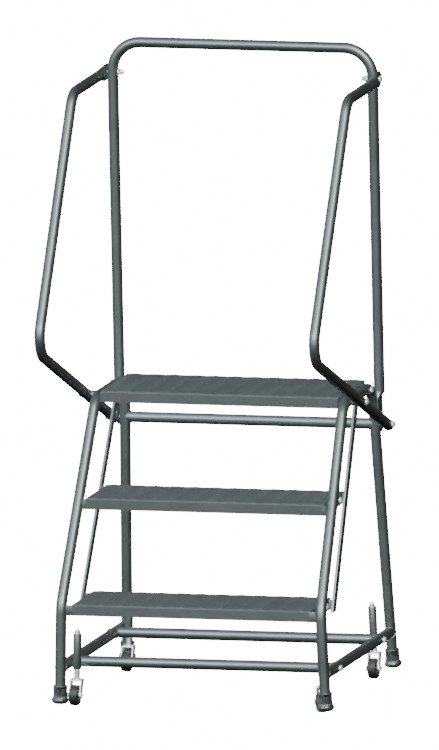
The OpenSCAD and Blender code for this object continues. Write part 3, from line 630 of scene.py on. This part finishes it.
def wheel(name):
    place = axis_place(*joint("caster_" + name + "_wheel"))
    body = "wheel_" + name
    low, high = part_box("tyre_" + name)
    r = (high.y - low.y) / 2
    half = 11 * MM
    shoulder = 4 * MM
    seat = 18.6 * MM
    arc = [math.radians(a) for a in (0, 18, 36, 54, 72, 90)]
    outline = [(seat, -half + 0.5 * MM), (seat + 0.5 * MM, -half)]
    outline += [(r - shoulder + shoulder * math.sin(a), -half + shoulder - shoulder * math.cos(a))
                for a in arc]
    crown = [(r - 0.02 * MM, 1.2 * MM), (r, 0.4 * MM)]
    outline += [(a, -b) for a, b in crown] + crown[::-1]
    outline += [(r - shoulder + shoulder * math.cos(a), half - shoulder + shoulder * math.sin(a))
                for a in arc]
    outline += [(seat + 0.5 * MM, half), (seat, half - 0.5 * MM)]
    bm = bmesh.new()
    lathe(bm, outline, 72, place)
    piece("wheel_tyre_" + name, bm, body, "tyre", ["tyre_" + name])

    hub = [(3.25, -11.5), (6.6, -11.5), (7.4, -10.8), (7.7, -5.4), (8.6, -4.6), (13.2, -4.4),
           (14.6, -5.2), (15.2, -8.6), (15.8, -9.5), (17.8, -9.5), (18.45, -8.9)]
    hub += [(a, -b) for a, b in reversed(hub)]
    bm = bmesh.new()
    lathe(bm, [(a * MM, b * MM) for a, b in hub], 60, place)
    ribs = 6
    for k in range(ribs):
        turn = Matrix.Rotation(2 * math.pi * k / ribs, 4, "Z")
        for face in (-1, 1):
            foot_z, top_z = face * 4.3 * MM, face * 8.6 * MM
            rings = []
            for x, z in ((7.4 * MM, top_z), (15.0 * MM, face * 7.4 * MM)):
                rings.append([place @ turn @ Vector(p) for p in (
                    (x, -0.9 * MM, foot_z), (x, 0.9 * MM, foot_z),
                    (x, 0.6 * MM, z), (x, -0.6 * MM, z))])
            loft(bm, rings)
    piece("wheel_hub_" + name, bm, body, "hub_plastic", ["hub_" + name])


def softened(node_name, name, slot, width):
    """A copy of a CAD part whose sharp edges are rounded over."""
    source = frame["nodes"][node_name]
    bm = bmesh.new()
    bm.from_mesh(source.data)
    bmesh.ops.remove_doubles(bm, verts=bm.verts, dist=2e-6)
    bmesh.ops.dissolve_limit(
        bm, angle_limit=math.radians(1.0), verts=bm.verts, edges=bm.edges)
    edges = [e for e in bm.edges
             if len(e.link_faces) == 2 and e.calc_face_angle(0) > math.radians(40)]
    bmesh.ops.bevel(bm, geom=edges, offset=width, segments=2, profile=0.5,
                    affect="EDGES", clamp_overlap=True)
    piece(name, bm, source["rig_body"], slot, [node_name])


# ---- Camera, light and floor -------------------------------------------------------------

BACKDROP = 16.0                # brightness of the floor and of the world, as the camera sees them
COOL = (0.80, 1.0, 1.0)

def view_axes(azimuth, elevation, roll):
    """Right, up and forward of a camera that looks along +Y at azimuth 0."""
    right = Vector((math.cos(azimuth), math.sin(azimuth), 0))
    forward = Vector((-math.sin(azimuth) * math.cos(elevation),
                      math.cos(azimuth) * math.cos(elevation), -math.sin(elevation)))
    up = right.cross(forward)
    turn = Matrix.Rotation(roll, 3, forward)
    return turn @ right, turn @ up, forward


def make_camera():
    right, up, forward = view_axes(math.radians(15.71), math.radians(10.13), math.radians(1.21))
    hoop_top = Vector((0, HOOP_Y, HOOP_TOP_Z))
    aim = hoop_top - right * 0.0556 - up * 0.8100
    data = bpy.data.cameras.new("camera")
    data.type = "ORTHO"
    data.ortho_scale = 1.8405
    data.clip_end = 60
    cam = bpy.data.objects.new("camera", data)
    bpy.context.scene.collection.objects.link(cam)
    axes = Matrix((right, up, -forward)).transposed().to_4x4()
    cam.matrix_world = Matrix.Translation(aim - forward * 6) @ axes
    bpy.context.scene.camera = cam


def sun(name, azimuth, elevation, strength, diffuse=True, glossy=True, colour=(1, 1, 1)):
    """A soft light from far off, without hard shadows. Azimuth 0 is in front, 90 on the right."""
    a, e = math.radians(azimuth), math.radians(elevation)
    to_light = Vector((math.sin(a) * math.cos(e), -math.cos(a) * math.cos(e), math.sin(e)))
    data = bpy.data.lights.new(name, "SUN")
    data.energy = strength
    data.angle = math.radians(12)
    data.color = colour
    data.use_shadow = False
    obj = bpy.data.objects.new(name, data)
    bpy.context.scene.collection.objects.link(obj)
    obj.rotation_euler = to_light.to_track_quat("Z", "Y").to_euler()
    obj.visible_diffuse = diffuse
    obj.visible_glossy = glossy


def make_world():
    world = bpy.data.worlds.new("studio")
    bpy.context.scene.world = world
    world.use_nodes = True
    tree = world.node_tree
    back = tree.nodes["Background"]
    back.inputs["Color"].default_value = (1, 1, 1, 1)
    back.inputs["Strength"].default_value = 0.02
    white = node(tree, "ShaderNodeBackground", Strength=BACKDROP)
    rays = node(tree, "ShaderNodeLightPath")
    mix = node(tree, "ShaderNodeMixShader")
    tree.links.new(rays.outputs["Is Camera Ray"], mix.inputs["Fac"])
    tree.links.new(back.outputs[0], mix.inputs[1])
    tree.links.new(white.outputs[0], mix.inputs[2])
    tree.links.new(mix.outputs[0], tree.nodes["World Output"].inputs["Surface"])


def make_floor():
    bm = bmesh.new()
    bmesh.ops.create_grid(bm, x_segments=2, y_segments=2, size=30)
    mesh = bpy.data.meshes.new("floor")
    bm.to_mesh(mesh)
    bm.free()
    floor = bpy.data.objects.new("floor", mesh)
    bpy.context.scene.collection.objects.link(floor)
    mat = bpy.data.materials.new("floor_white")
    mat.use_nodes = True
    shader = mat.node_tree.nodes["Principled BSDF"]
    shader.inputs["Base Color"].default_value = (0.0, 0.0, 0.0, 1)
    shader.inputs["Roughness"].default_value = 0.9
    shader.inputs["Specular IOR Level"].default_value = 0.0
    shader.inputs["Emission Color"].default_value = (1, 1, 1, 1)
    shader.inputs["Emission Strength"].default_value = BACKDROP
    mesh.materials.append(mat)
    floor.visible_diffuse = False
    floor.visible_glossy = False


# ---- Build -------------------------------------------------------------------------------

for side, hand in SIDES:
    side_frame(side, hand)
    handrail(side, hand)
    softened("strut_" + side, "flat_strut_" + side, "frame_paint", 0.6 * MM)
    softened("step_brackets_" + side, "bent_brackets_" + side, "frame_paint", 0.5 * MM)
guard_hoop()
weld_beads()
softened("caster_sockets", "welded_caster_sockets", "frame_paint", 0.7 * MM)
softened("handrail_spacers", "painted_handrail_spacers", "frame_paint", 0.3 * MM)
for name in ("platform_tread", "upper_step", "lower_step"):
    tread(name)
for name, end, hand in CORNERS:
    foot(name, end, hand)
    wheel(name)
    softened("fork_" + name, "pressed_fork_" + name, "zinc_pressing", 0.5 * MM)

slots = {s["node"]: s["material_slot"] for s in frame["record"]["subparts"]}
for name, obj in frame["nodes"].items():
    obj.data.materials.clear()
    obj.data.materials.append(materials[slots[name]])

make_camera()
make_world()
sun("front_gloss", 26, 36, 8.0, diffuse=False)
sun("left_gloss", -29, 28, 3.5, diffuse=False, colour=COOL)
sun("left_key", -75, 29, 4.5, glossy=False, colour=COOL)
sun("front_fill", 26, 36, 1.2, glossy=False)
sun("back", 196, -10, 2.5)
make_floor()
